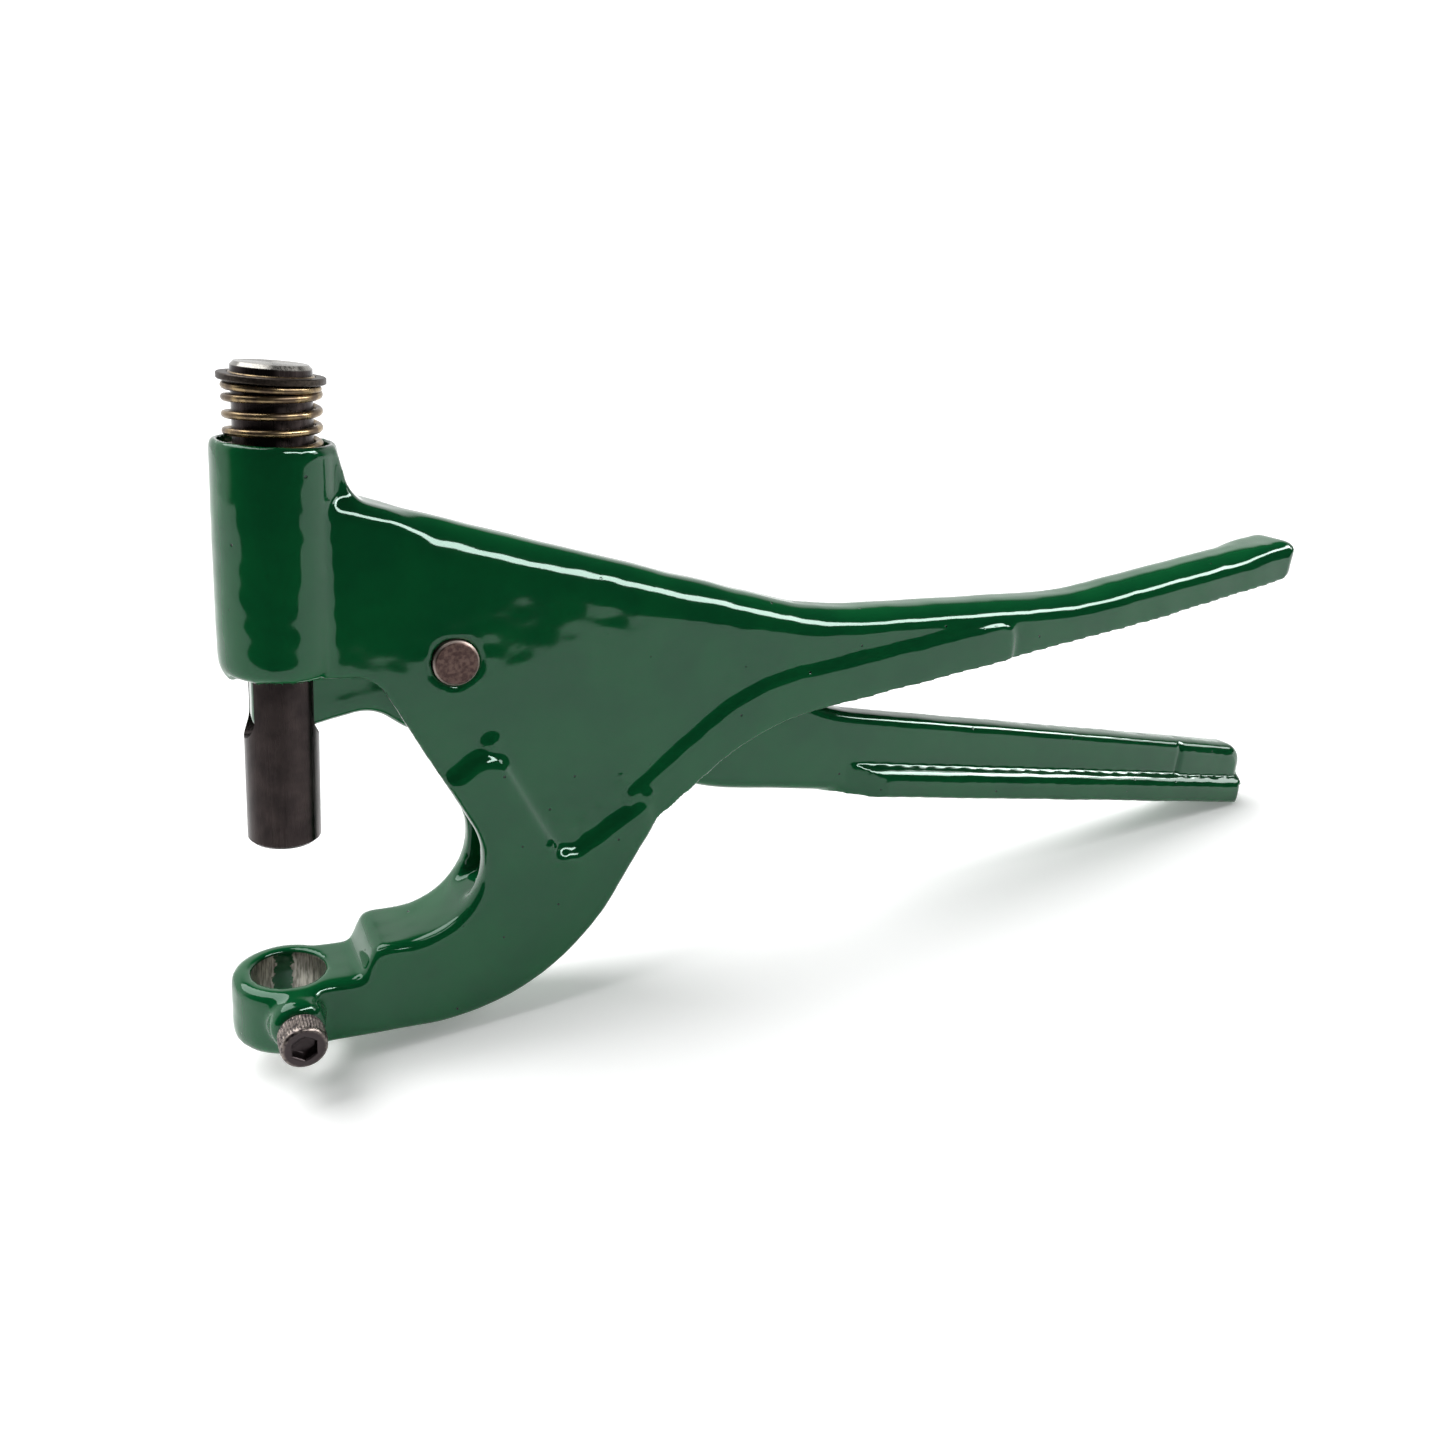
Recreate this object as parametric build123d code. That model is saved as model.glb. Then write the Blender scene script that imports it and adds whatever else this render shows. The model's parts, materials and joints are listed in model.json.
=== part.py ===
"""Snap setting press: a cast plier-type press that closes snap fasteners.

X runs from the ram towards the handles, Y runs across the tool, and Z runs up the ram's axis.
The origin is on the die bore's axis, at the anvil ring's top face.  Sizes are in millimetres
and angles in degrees.
"""
from build123d import *
import os
from math import cos, radians, sin, tan

os.makedirs("parts", exist_ok=True)

# ---- ram, guide tube and return spring --------------------------------------------------------
ram_d = 15.0
ram_gap = 0.05                  # radial running clearance in the guide tube
ram_bottom_z = 32.8
ram_stand = 2.1                 # of its top above the washer
ram_edge = 0.7
socket_d = 8.0                  # the upper die's shank goes in here
socket_depth = 14.0
grub_d = 4.0                    # set screw that holds the upper die
grub_height = 7.0               # above the ram's lower end
grub_sink = 0.4                 # below the ram's surface
grub_key = 2.0

tube_wall = 4.5
tube_bottom_z = 70.5
tube_top_z = 118.0
tube_edge = 2.2
spring_seat_depth = 12.0        # of the counterbore in the tube's top

wire_d = 1.5
spring_ram_gap = 0.3            # radial
spring_tube_gap = 1.1           # radial, to the counterbore
spring_pitch = 2.93

washer_lip = 0.7                # beyond the spring
washer_thickness = 1.3
washer_rise = 11.6              # of its top above the tube
washer_gap = 0.1                # radial, over the ram
washer_recess = 0.8             # seat of the snap ring
washer_edge = 0.2
snap_wire_d = 1.0
snap_opening = 2.0

# ---- anvil ring and die clamp screw -----------------------------------------------------------
die_bore_d = 16.0
ring_wall = 4.2
ring_height = 15.3              # the arm's underside is level with the ring's
ring_edge = 1.8
screw_z = -6.1
thread_d = 6.0
thread_gap = 0.05               # radial
head_d = 10.0
head_height = 6.0
head_edge = 0.8
head_key = 5.0                  # across the flats
key_depth = 3.0
tip_gap = 0.3                   # a screw's tip stops this far short of its bore
boss_d = 12.0
boss_stand = 4.3                # beyond the ring
boss_edge = 2.5
head_gap = 1.0                  # from the boss to the screw's head

# ---- pivot and lever --------------------------------------------------------------------------
pivot_x = 34.5
pivot_z = 72.9
pin_d = 10.0
pin_gap = 0.04                  # radial running clearance in the lever
pin_stand = 1.0                 # beyond each side face
pin_edge = 0.6
swing = 11.0                    # from rest until the lever lies against the handle

lever_thickness = 9.0
lever_edge = 2.8
hub_r = 18.6
hub_top_angles = (23.0, 21.5)   # falls of the top edge, towards the nose and towards the hand
hub_low_angles = (37.0, 15.4)   # falls of the underside beside the hub
nose_r = 12.0                   # the curve that presses on the ram
nose_angle = 15.0               # half of that curve's arc
nose_reach = 6.0                # the nose's end, beyond the ram's axis
nose_corner = 3.0
nose_root = 8.0
nose_gap = 0.15                 # above the ram's shoulder, at rest
lever_end_x = 290.0
lever_end_low_z = 13.6
lever_end_height = 18.0
lever_low_fall = 6.5
lever_top_fall = 8.0
lever_bend_r = 60.0
lever_end_corners = (7.0, 4.5)
pad_x = 261.5                   # the tip's thicker part starts here
pad_rise = 0.5
pad_corner = 5.0
flange_width = 16.0
flange_height = 5.0
flange_rise = 3.4               # of its top, up to the lever's side
flange_drop = 0.3               # of its underside below the blade's
flange_edge = 1.6
flange_tip_r = 6.0
flange_start_x = 131.5
flange_run = 22.0               # over which the flange reaches its width

# ---- frame casting ----------------------------------------------------------------------------
slot_side_gap = 0.3             # the lever to each cheek
ram_slot_gap = 0.2              # the lever's nose to each side of the ram's slot
ram_slot_low_z = 56.2           # the slot's lowest line, below the nose
slot_end_gap = 0.7              # the lever's outline to the roof of the slot
slot_floor = (36.0, 13.6)       # where the slot's floor comes out in the throat
slot_floor_rise = 22.2
slot_floor_start = 5.9          # of its near end, beyond the throat's centre
cheek = 3.4                     # wall on each side of the slot
rim_relief = 1.0                # the raised rim, above the web's face
arm_relief = 2.0                # the arm's raised panel, above the web's face
crown_edge = 4.0
arm_edge = 2.0
crown_start_z = 109.9           # the top edge's line, where it would meet the ram's axis
crown_dip = (126.0, 80.6)
crown_bend = (206.0, 82.8)
crown_radii = (90.0, 80.0)
handle_end_z = 99.4
handle_short = 0.4              # of the lever's end
handle_end_height = 11.4
handle_corners = (5.4, 4.6)
handle_low_bend = (233.0, 75.4)
handle_keel = 4.0               # the handle's lower part keeps square edges
handle_plan_r = 8.5             # rounding of the handle's end, seen from above
handle_plan_gap = 1.0           # by which that rounding starts outside the handle's sides
flare_height = 10.0             # of the web's flare up the tube
flare_foot = 2.0                # beyond the tube, at the flare's bend
flare_r = 8.0
flare_width = 11.0
flare_sink = 1.0                # of the flare's edges into the tube and the crown
rim_end = (184.0, 66.5)
rim_bend = (110.7, 53.5)
rim_bend_r = 60.0
rim_bend_angle = 25.0           # slope of the rim halfway round its bend
rim_depth = 11.0                # height of the raised rim above the lower edge
rim_end_r = 4.0
kink = (84.5, 31.5)             # where the arm's panel meets the rim
kink_r = 1.5
arm_rise = 61.5                 # slope of the arm's back below the kink
arm_r = 52.0
throat_r = 17.7
throat_x = 24.0                 # centre of the throat's round back
throat_fall = 59.0              # slope of the throat above it
throat_corner = 8.0
step_z = 7.4                    # the arm's top beside the ring
step_x = (14.5, 17.5)           # foot and head of the step
step_radii = (1.5, 3.0)
panel_peak = (43.4, 53.5)       # corners of the arm's raised panel
panel_notch = (61.0, 23.9)
panel_end = (82.3, 38.3)
panel_foot = (84.2, 20.0)       # the panel's end runs towards this point
panel_shoulder_x = 20.0
panel_slope = 36.0
panel_corner = 5.0
panel_notch_r = 2.5

# ---- sizes that follow ------------------------------------------------------------------------
tube_d = ram_d + 2 * tube_wall
spring_seat_z = tube_top_z - spring_seat_depth
spring_d = ram_d + 2 * (spring_ram_gap + wire_d)
washer_d = spring_d + 2 * washer_lip
washer_top_z = tube_top_z + washer_rise
washer_bottom_z = washer_top_z - washer_thickness
ram_top_z = washer_top_z + ram_stand
snap_z = washer_top_z - washer_recess + snap_wire_d / 2
ring_d = die_bore_d + 2 * ring_wall
boss_reach = ring_d / 2 + boss_stand
slot_width = lever_thickness + 2 * slot_side_gap
ram_slot_r = lever_thickness / 2 + ram_slot_gap
web_width = slot_width + 2 * cheek
rim_width = web_width + 2 * rim_relief
arm_width = web_width + 2 * arm_relief
pivot = (pivot_x, pivot_z)
handle_end = (lever_end_x - handle_short, handle_end_z)
handle_end_low = (handle_end[0], handle_end_z - handle_end_height)
flange_run_r = 2 * flange_run
flare_end = tube_d + flare_r
upright_angle = 89.999          # a line as good as vertical, for meeting()
past = 1.0                      # a cut runs this far past the face that it opens
far = 400.0                     # longer than any part of the tool


def outline(*corners):
    """A face in the XZ plane, from its corners as (x, z, radius)."""
    points = [(x, z) for x, z, _ in corners]
    radii = [radius for _, _, radius in corners]
    return Plane.XZ * make_face(FilletPolyline(*points, radius=radii, close=True))


def plate(face, width):
    """A plate of the face's shape, centred across the tool."""
    return extrude(face, width / 2, both=True)


def side_edges(solid, width):
    """The edges around a plate's two side faces."""
    return [edge for edge in solid.edges() if abs(abs(edge.center().Y) - width / 2) < 0.001]


def upright(diameter, z_low, z_high, x=0.0):
    """A cylinder along Z."""
    return Pos(x, 0, (z_low + z_high) / 2) * Cylinder(diameter / 2, z_high - z_low)


def crosswise(diameter, y_low, y_high, x, z):
    """A cylinder along Y."""
    return Pos(x, (y_low + y_high) / 2, z) * Rot(90, 0, 0) * Cylinder(diameter / 2, y_high - y_low)


def meeting(point_a, angle_a, point_b, angle_b):
    """Where two lines of the XZ plane cross, each through a point at an angle above X."""
    slope_a, slope_b = tan(radians(angle_a)), tan(radians(angle_b))
    x = (point_b[1] - point_a[1] + slope_a * point_a[0] - slope_b * point_b[0]) / (slope_a - slope_b)
    return x, point_a[1] + slope_a * (x - point_a[0])


def beside(centre, radius, angle, side):
    """The point where a line at an angle above X touches a circle, on its upper or lower side."""
    return (centre[0] - side * radius * sin(radians(angle)), centre[1] + side * radius * cos(radians(angle)))


def swung(point):
    """Where a point of the lever is once the lever has turned through its whole swing."""
    across, up = point[0] - pivot_x, point[1] - pivot_z
    turn = radians(swing)
    return (pivot_x + across * cos(turn) - up * sin(turn), pivot_z + across * sin(turn) + up * cos(turn))


# ---- the lever's outline, which the frame's slot also follows ---------------------------------
# The nose's lower edges are rounded, so it sits deeper in the ram's round slot than a square
# edge would.  Its lowest point follows from the slot's radius and the rounding.
ram_shoulder_z = ram_slot_low_z + ram_slot_r
edge_offset = lever_thickness / 2 - lever_edge
edge_drop = ((ram_slot_r - lever_edge) ** 2 - edge_offset ** 2) ** 0.5
nose_low_z = ram_shoulder_z - edge_drop - lever_edge + nose_gap
nose_z = nose_low_z + nose_r    # centre of the nose's curve

nose_tip = (0.0, nose_z - nose_r / cos(radians(nose_angle)))
nose_end_low = meeting(nose_tip, -nose_angle, (-nose_reach, 0), upright_angle)
top_nose_side = beside(pivot, hub_r, hub_top_angles[0], 1)
top_hand_side = beside(pivot, hub_r, -hub_top_angles[1], 1)
low_nose_side = beside(pivot, hub_r, -hub_low_angles[0], -1)
low_hand_side = beside(pivot, hub_r, -hub_low_angles[1], -1)
nose_end_top = meeting(top_nose_side, hub_top_angles[0], (-nose_reach, 0), upright_angle)
hub_top = meeting(top_nose_side, hub_top_angles[0], top_hand_side, -hub_top_angles[1])
hub_low = meeting(low_nose_side, -hub_low_angles[0], low_hand_side, -hub_low_angles[1])
nose_back = meeting(nose_tip, nose_angle, low_nose_side, -hub_low_angles[0])
lever_end_low = (lever_end_x, lever_end_low_z)
lever_end_top = (lever_end_x, lever_end_low_z + lever_end_height)
top_bend = meeting(top_hand_side, -hub_top_angles[1], lever_end_top, -lever_top_fall)
low_bend = meeting(low_hand_side, -hub_low_angles[1], lever_end_low, -lever_low_fall)


def lever():
    """Squeeze lever: round hub, nose that presses the ram down, and a T-section grip."""
    side = outline(
        (*nose_end_top, nose_corner),
        (*hub_top, hub_r),
        (*top_bend, lever_bend_r),
        (*lever_end_top, lever_end_corners[0]),
        (*lever_end_low, lever_end_corners[1]),
        (*low_bend, lever_bend_r),
        (*hub_low, hub_r),
        (*nose_back, nose_root),
        (*nose_tip, nose_r),
        (*nose_end_low, nose_corner),
    )
    blade = fillet(side_edges(plate(side, lever_thickness), lever_thickness), lever_edge)
    pad_top = lever_end_top[1] - lever_edge
    pad_end_x = lever_end_x - lever_edge
    pad_low_z = lever_end_low_z + flange_height
    pad = plate(outline(
        (pad_x, pad_top + (lever_end_x - pad_x) * tan(radians(lever_top_fall)), 0),
        (pad_end_x, pad_top, pad_corner),
        (pad_end_x, pad_low_z, 0),
        (pad_x, pad_low_z, 0),
    ), lever_thickness + 2 * pad_rise)
    fall = radians(lever_low_fall)
    half, web_half = flange_width / 2, lever_thickness / 2
    section = FilletPolyline(
        (-half, -flange_drop), (-half, flange_height), (-web_half, flange_height + flange_rise),
        (web_half, flange_height + flange_rise), (half, flange_height), (half, -flange_drop),
        radius=[flange_edge, flange_edge, 0, 0, flange_edge, flange_edge], close=True,
    )
    end = Plane(origin=(lever_end_x, 0, lever_end_low_z), x_dir=(0, -1, 0), z_dir=(-cos(fall), 0, sin(fall)))
    flange = extrude(end * make_face(section), (lever_end_x - flange_start_x) / cos(fall))
    start = web_half - lever_edge
    plan = FilletPolyline(
        (flange_start_x - past, start), (flange_start_x, start), (flange_start_x + flange_run, half + past),
        (lever_end_x, half + past), (lever_end_x, -half - past), (flange_start_x + flange_run, -half - past),
        (flange_start_x, -start), (flange_start_x - past, -start),
        radius=[0, 0, flange_run_r, flange_tip_r, flange_tip_r, flange_run_r, 0, 0], close=True,
    )
    flange &= extrude(make_face(plan), far, both=True)
    body = blade + pad + flange
    return body - crosswise(pin_d + 2 * pin_gap, -lever_thickness, lever_thickness, *pivot)


def pivot_pin():
    """Plain pin through both cheeks, with bevelled ends."""
    half = web_width / 2 + pin_stand
    pin = crosswise(pin_d, -half, half, *pivot)
    return chamfer(pin.edges().filter_by(GeomType.CIRCLE), pin_edge)


def frame_outline():
    """Side view of the casting to the right of the ram's axis, without the tube and the ring."""
    throat = (throat_x, step_z + throat_r)
    throat_side = beside(throat, throat_r, -throat_fall, 1)
    throat_high = meeting(throat_side, -throat_fall, (0, tube_bottom_z), 0)
    throat_low = meeting(throat_side, -throat_fall, (0, step_z), 0)
    heel = meeting((0, -ring_height), 0, kink, arm_rise)
    return outline(
        (0, crown_start_z, 0),
        (*crown_dip, crown_radii[0]),
        (*crown_bend, crown_radii[1]),
        (*handle_end, handle_corners[0]),
        (*handle_end_low, handle_corners[1]),
        (*handle_low_bend, crown_radii[1]),
        (*rim_end, crown_radii[0]),
        (*rim_bend, rim_bend_r),
        (*kink, kink_r),
        (*heel, arm_r),
        (0, -ring_height, 0),
        (0, 0, 0),
        (step_x[0], 0, step_radii[0]),
        (step_x[1], step_z, step_radii[1]),
        (*throat_low, throat_r),
        (*throat_high, throat_corner),
        (0, tube_bottom_z, 0),
    )


def arm_panel():
    """Area of the arm's raised side panel."""
    shoulder = meeting(panel_peak, panel_slope, (panel_shoulder_x, 0), upright_angle)
    return outline(
        (-tube_d, shoulder[1], 0),
        (*shoulder, 0),
        (*panel_peak, panel_corner),
        (*panel_notch, panel_notch_r),
        (*panel_end, panel_notch_r),
        (*panel_foot, 0),
        (panel_foot[0], -far, 0),
        (-tube_d, -far, 0),
    )


def rim_band():
    """Area of the raised rim along the casting's lower edge."""
    start_x = panel_end[0] - rim_depth / 2
    lean = radians(rim_bend_angle)
    bend = (rim_bend[0] - rim_depth * sin(lean), rim_bend[1] + rim_depth * cos(lean))
    return outline(
        (kink[0], kink[1] - rim_depth, 0),
        (start_x, kink[1], 0),
        (start_x, panel_end[1], 0),
        (*bend, rim_bend_r - rim_depth),
        (rim_end[0], rim_end[1] + rim_depth, rim_end_r),
        (rim_end[0] + past, rim_end[1] - past, 0),
        (rim_end[0], 0, 0),
    )


def keel_band():
    """Area of the handle's lower part."""
    return outline(
        (rim_end[0] - rim_depth, rim_end[1], 0),
        (rim_end[0] - rim_depth, rim_end[1] + handle_keel, 0),
        (handle_low_bend[0], handle_low_bend[1] + handle_keel, 0),
        (handle_end[0] + past, handle_end_low[1] + handle_keel, 0),
        (handle_end[0] + past, -far, 0),
        (rim_end[0], -far, 0),
    )


def slot_face():
    """Side view of the room that the lever needs, from the nose to the handle's channel."""
    roof_r = hub_r + slot_end_gap
    roof_nose = beside(pivot, roof_r, hub_top_angles[0], 1)
    roof_angle = swing - hub_top_angles[1]
    roof_hand = beside(pivot, roof_r, roof_angle, 1)
    roof_top = meeting(roof_nose, hub_top_angles[0], roof_hand, roof_angle)
    roof_start = meeting(roof_nose, hub_top_angles[0], (0, 0), upright_angle)
    channel_end = (swung(lever_end_top)[0], swung(lever_end_top)[1] + slot_end_gap)
    roof_bend = meeting(roof_hand, roof_angle, channel_end, swing - lever_top_fall)
    floor_angle = slot_floor_rise
    floor_near = meeting(slot_floor, floor_angle, (throat_x + slot_floor_start, 0), upright_angle)
    floor_far = meeting(slot_floor, floor_angle, (rim_bend[0], 0), upright_angle)
    return outline(
        (0, tube_bottom_z - hub_r, 0),
        (*roof_start, 0),
        (*roof_top, roof_r),
        (*roof_bend, lever_bend_r),
        (*channel_end, 0),
        (channel_end[0], floor_far[1], 0),
        (*floor_far, 0),
        (*floor_near, 0),
        (throat_x, step_z + throat_r, 0),
    )


def frame_casting():
    """One casting: guide tube, web, C-shaped arm with its anvil ring, and upper handle."""
    side = frame_outline()
    web = plate(side, web_width)
    crown = [e for e in side_edges(web, web_width) if e.center().Z > pivot_z and e.center().X > 1]
    web = fillet(crown, crown_edge) + plate(side & keel_band(), web_width)
    half = web_width / 2 + handle_plan_gap
    handle_plan = FilletPolyline(
        (-tube_d, half), (handle_end[0], half), (handle_end[0], -half), (-tube_d, -half),
        radius=[0, handle_plan_r, handle_plan_r, 0], close=True,
    )
    web = web & extrude(make_face(handle_plan), far, both=True)

    arm = plate(side & arm_panel(), arm_width)
    arm = fillet([e for e in side_edges(arm, arm_width) if e.center().X > 1], arm_edge)
    rim = plate(side & rim_band(), rim_width)

    tube = upright(tube_d, tube_bottom_z, tube_top_z)
    tube = fillet(tube.edges().filter_by(GeomType.CIRCLE), tube_edge)
    crown_fall = (crown_start_z - crown_dip[1]) / crown_dip[0]
    flare_z = crown_start_z - tube_d / 2 * crown_fall
    flare = plate(outline(
        (0, flare_z + flare_height, 0),
        (tube_d / 2 - flare_sink, flare_z + flare_height, 0),
        (tube_d / 2 + flare_foot, flare_z - flare_sink, flare_r),
        (flare_end, crown_start_z - flare_end * crown_fall - flare_sink, 0),
        (tube_d / 2, tube_bottom_z + hub_r, 0),
        (0, tube_bottom_z + hub_r, 0),
    ), flare_width)

    ring = upright(ring_d, -ring_height, 0)
    ring = fillet(ring.edges().filter_by(GeomType.CIRCLE), ring_edge)
    boss = crosswise(boss_d, -boss_reach, 0, 0, screw_z)
    boss = fillet(boss.edges().filter_by(GeomType.CIRCLE).sort_by(Axis.Y)[:1], boss_edge)

    body = web + arm + rim + flare + tube + ring + boss

    body -= upright(ram_d + 2 * ram_gap, tube_bottom_z - past, tube_top_z)
    body -= upright(spring_d + 2 * spring_tube_gap, spring_seat_z, tube_top_z + past)
    body -= plate(slot_face(), slot_width)
    body -= upright(die_bore_d, -far, past)
    body -= crosswise(thread_d + 2 * thread_gap, -boss_reach - past, 0, 0, screw_z)
    body -= crosswise(pin_d, -web_width, web_width, *pivot)
    return body


def ram():
    """Ground rod with a round-ended cross slot for the lever's nose and a socket for the die."""
    body = upright(ram_d, ram_bottom_z, ram_top_z)
    body = chamfer(body.edges().filter_by(GeomType.CIRCLE), ram_edge)
    slot_top = nose_end_top[1] + (nose_reach + ram_d / 2) * tan(radians(hub_top_angles[0])) + slot_end_gap
    low = ram_shoulder_z
    body -= Pos(0, 0, (low + slot_top) / 2) * Box(2 * ram_d, 2 * ram_slot_r, slot_top - low)
    for z in (low, slot_top):
        body -= Pos(0, 0, z) * Rot(0, 90, 0) * Cylinder(ram_slot_r, 2 * ram_d)
    body -= upright(socket_d, ram_bottom_z - past, ram_bottom_z + socket_depth)
    body -= crosswise(grub_d, 0, ram_d, 0, ram_bottom_z + grub_height)
    return body - Pos(0, 0, snap_z) * Torus(ram_d / 2, snap_wire_d / 2)


def grub_screw():
    """Set screw in the back of the ram, with a hexagon socket."""
    outer = ram_d / 2 - grub_sink
    screw = crosswise(grub_d, socket_d / 2 + tip_gap, outer, 0, ram_bottom_z + grub_height)
    key = extrude(RegularPolygon(grub_key / 2, 6, major_radius=False), grub_key)
    return screw - Pos(0, outer, ram_bottom_z + grub_height) * Rot(90, 0, 0) * key


def spring_washer():
    """Flat washer that the spring lifts, recessed for the snap ring."""
    body = upright(washer_d, washer_bottom_z, washer_top_z)
    body = chamfer(body.edges().filter_by(GeomType.CIRCLE), washer_edge)
    body -= upright(ram_d + 2 * washer_gap, washer_bottom_z - past, washer_top_z + past)
    recess_d = ram_d + snap_wire_d + 2 * washer_gap
    return body - upright(recess_d, washer_top_z - washer_recess, washer_top_z + past)


def snap_ring():
    """Open wire ring in the ram's groove."""
    opening = Pos(0, ram_d / 2, 0) * Box(snap_opening, ram_d / 2, 2 * snap_wire_d)
    return Pos(0, 0, snap_z) * (Torus(ram_d / 2, snap_wire_d / 2) - opening)


def return_spring():
    """Compression spring with ground ends, from the counterbore's floor to the washer."""
    height = washer_bottom_z - spring_seat_z
    path = Helix(spring_pitch, height, (spring_d - wire_d) / 2)
    wire = sweep(Plane(origin=path @ 0, z_dir=path % 0) * Circle(wire_d / 2), path=path, is_frenet=True)
    inside = Pos(0, 0, height / 2) * Cylinder(spring_d, height)
    return Pos(0, 0, spring_seat_z) * (wire & inside)


def die_clamp_screw():
    """Socket head cap screw that clamps the lower die."""
    inner = -boss_reach - head_gap
    outer = inner - head_height
    head = crosswise(head_d, outer, inner, 0, screw_z)
    head = chamfer(head.edges().filter_by(GeomType.CIRCLE).sort_by(Axis.Y)[:1], head_edge)
    shank = crosswise(thread_d, inner, -die_bore_d / 2 - tip_gap, 0, screw_z)
    key = extrude(RegularPolygon(head_key / 2, 6, major_radius=False), key_depth)
    return head + shank - Pos(0, outer, screw_z) * Rot(-90, 0, 0) * key


pieces = {
    "frame_casting": frame_casting(),
    "squeeze_lever": lever(),
    "pivot_pin": pivot_pin(),
    "ram": ram(),
    "ram_grub_screw": grub_screw(),
    "return_spring": return_spring(),
    "spring_washer": spring_washer(),
    "snap_ring": snap_ring(),
    "die_clamp_screw": die_clamp_screw(),
}
for name, piece in pieces.items():
    export_step(piece, f"parts/{name}.step")
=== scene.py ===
import json
from math import cos, pi, radians, sin

import bmesh
import bpy
import numpy as np
from mathutils import Matrix, Vector


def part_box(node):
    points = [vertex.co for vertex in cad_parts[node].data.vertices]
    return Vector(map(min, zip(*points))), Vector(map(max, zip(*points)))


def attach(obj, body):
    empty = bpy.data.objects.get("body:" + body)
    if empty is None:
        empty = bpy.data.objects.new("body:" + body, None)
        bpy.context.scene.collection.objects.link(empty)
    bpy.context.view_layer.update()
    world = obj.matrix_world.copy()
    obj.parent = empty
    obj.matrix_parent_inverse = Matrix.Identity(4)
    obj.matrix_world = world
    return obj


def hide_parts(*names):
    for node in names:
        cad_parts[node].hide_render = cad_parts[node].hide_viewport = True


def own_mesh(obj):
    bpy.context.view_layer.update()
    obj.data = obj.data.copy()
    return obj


# Looks of the snap setting press: two enamelled castings with softened edges, a wound spring, a
# knurled cap screw, and the finishes of every steel piece.  Sizes are in millimetres until they
# go into a mesh.  +Z runs up the ram, and the die bore's axis is X = Y = 0.

MM = 0.001
SMOOTH = {"interpolation_type": "SMOOTHSTEP"}
COLOURS = {"data_type": "RGBA"}

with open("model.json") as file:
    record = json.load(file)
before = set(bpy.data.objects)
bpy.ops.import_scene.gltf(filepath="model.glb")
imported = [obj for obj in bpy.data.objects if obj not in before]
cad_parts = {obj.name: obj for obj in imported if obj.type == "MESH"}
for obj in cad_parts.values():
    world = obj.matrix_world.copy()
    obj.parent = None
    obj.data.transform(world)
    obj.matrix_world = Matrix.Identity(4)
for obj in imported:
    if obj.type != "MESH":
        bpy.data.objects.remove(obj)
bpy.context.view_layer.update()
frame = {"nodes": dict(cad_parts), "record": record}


def corners(name):
    """A node's lowest and highest corners in millimetres, as two arrays."""
    return [np.array(corner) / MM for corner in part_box(name)]


# ---- sizes from the frame -----------------------------------------------------------------------
casting_low, casting_high = corners("frame_casting")
pin_low, pin_high = corners("pivot_pin")
ram_low, ram_high = corners("ram")
spring_low, spring_high = corners("return_spring")
screw_low, screw_high = corners("die_clamp_screw")
lever_low, lever_high = corners("squeeze_lever")

pivot = (pin_low + pin_high) / 2
screw_middle = (screw_low + screw_high) / 2
ram_r = ram_high[0]
ring_height = -casting_low[2]
die_bore_r = frame["record"]["mounts"][0]["dims"]["r_mm"]

# ---- sizes of the details -----------------------------------------------------------------------
pin_stand = 1.0                         # the pivot pin stands out of each cheek
web_half = pin_high[1] - pin_stand      # half the web's width
tube_low_z = ram_low[2] + 37.7          # lower rim of the guide tube
rim_r, rim_half = 10.0, 2.4             # that rim's middle radius and half its width
guide_r = ram_r + 0.08                  # bore that the ram slides in
guide_high_z = 105.5
seat_r = 10.4                           # bore that the spring sits in
seat_low_z, seat_high_z = 106.6, 117.2
handle_low_z = 88.0                     # lower corner of the handle's end
handle_lean = radians(12.5)
crown_start_x, crown_full_x = 20.0, 30.0
crown_end_x = casting_high[0] - 12.0    # the crown's rounding stops short of the handle's end
crown_fade = 13.0
blade_half, flange_half = 4.5, 8.0      # half widths of the lever's T-section
flange_x, pad_x = 135.0, 261.2          # where the flange is full, and where the tip's pad starts
lever_hole_r = 5.1
wire_d = 1.5
screw_head_r, screw_head_height, screw_flat, screw_pitch = 5.0, 6.0, 2.5, 1.0


# ---- colours and nodes --------------------------------------------------------------------------
def linear(code):
    """An sRGB hex colour as linear RGBA."""
    parts = [int(code[i:i + 2], 16) / 255 for i in (0, 2, 4)]
    return (*[p / 12.92 if p <= 0.04045 else ((p + 0.055) / 1.055) ** 2.4 for p in parts], 1.0)


def add(tree, kind, inputs=None, **settings):
    """Adds a node with its settings and gives its outputs.  Each input, by name or number, takes
    a value or another node's output, which is linked."""
    made = tree.nodes.new("ShaderNode" + kind)
    for name, value in settings.items():
        setattr(made, name, value)
    for name, value in (inputs or {}).items():
        if isinstance(value, bpy.types.NodeSocket):
            tree.links.new(value, made.inputs[name])
        else:
            made.inputs[name].default_value = value
    return made.outputs


def start(name, colour, rough, metallic=0.0, **sockets):
    """A material with its shader's values set; gives the material, tree, shader and place in mm."""
    material = bpy.data.materials.new(name)
    material.use_nodes = True
    tree = material.node_tree
    shader = tree.nodes["Principled BSDF"]
    shader.inputs["Base Color"].default_value = linear(colour)
    shader.inputs["Roughness"].default_value = rough
    shader.inputs["Metallic"].default_value = metallic
    for socket, value in sockets.items():
        shader.inputs[socket.replace("_", " ")].default_value = value
    spot = add(tree, "TexCoord")["Object"]
    place = add(tree, "VectorMath", {0: spot, 1: (1 / MM,) * 3}, operation="MULTIPLY")[0]
    return material, tree, shader, place


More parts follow.
